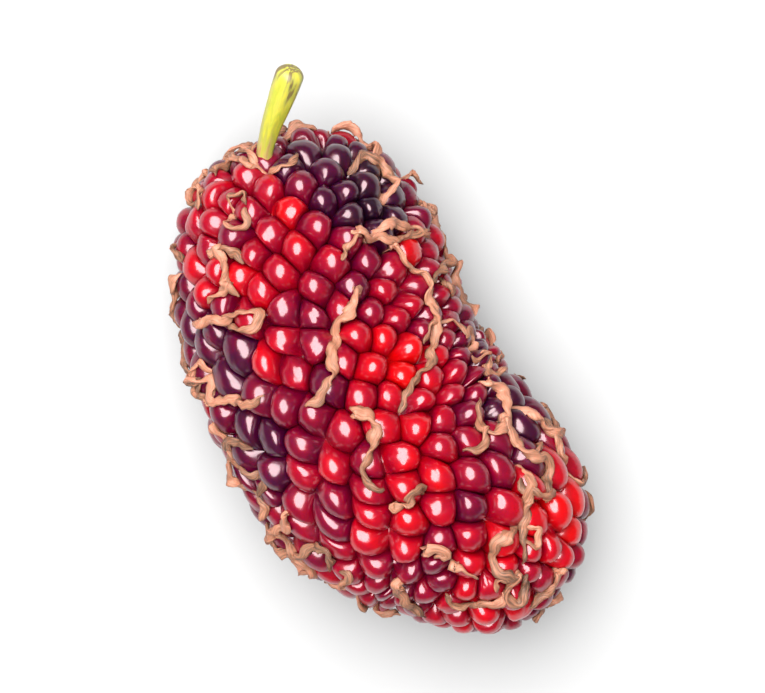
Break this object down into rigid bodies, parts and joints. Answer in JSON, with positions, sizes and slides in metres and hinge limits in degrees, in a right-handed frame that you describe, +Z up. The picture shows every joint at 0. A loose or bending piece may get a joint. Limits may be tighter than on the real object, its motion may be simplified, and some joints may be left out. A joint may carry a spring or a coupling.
{
  "type": "mulberry",
  "caption": "Single picked mulberry lying on its side: a long bumpy head of juicy drupelets with curly dried styles, and a short bare stalk.",
  "frame": {"origin": "on the surface the fruit lies on, below the middle of its bounding box", "axes": "+X along the fruit from its stalk to its tip, +Z up from the surface it lies on"},
  "size_m": [0.0321, 0.0181, 0.0159],
  "materials": {
    "flesh": "glossy",
    "stalk_green": "satin"
  },
  "bodies": {
    "root": {"drupelets": "flesh", "stalk": "stalk_green"}
  },
  "joints": []
}
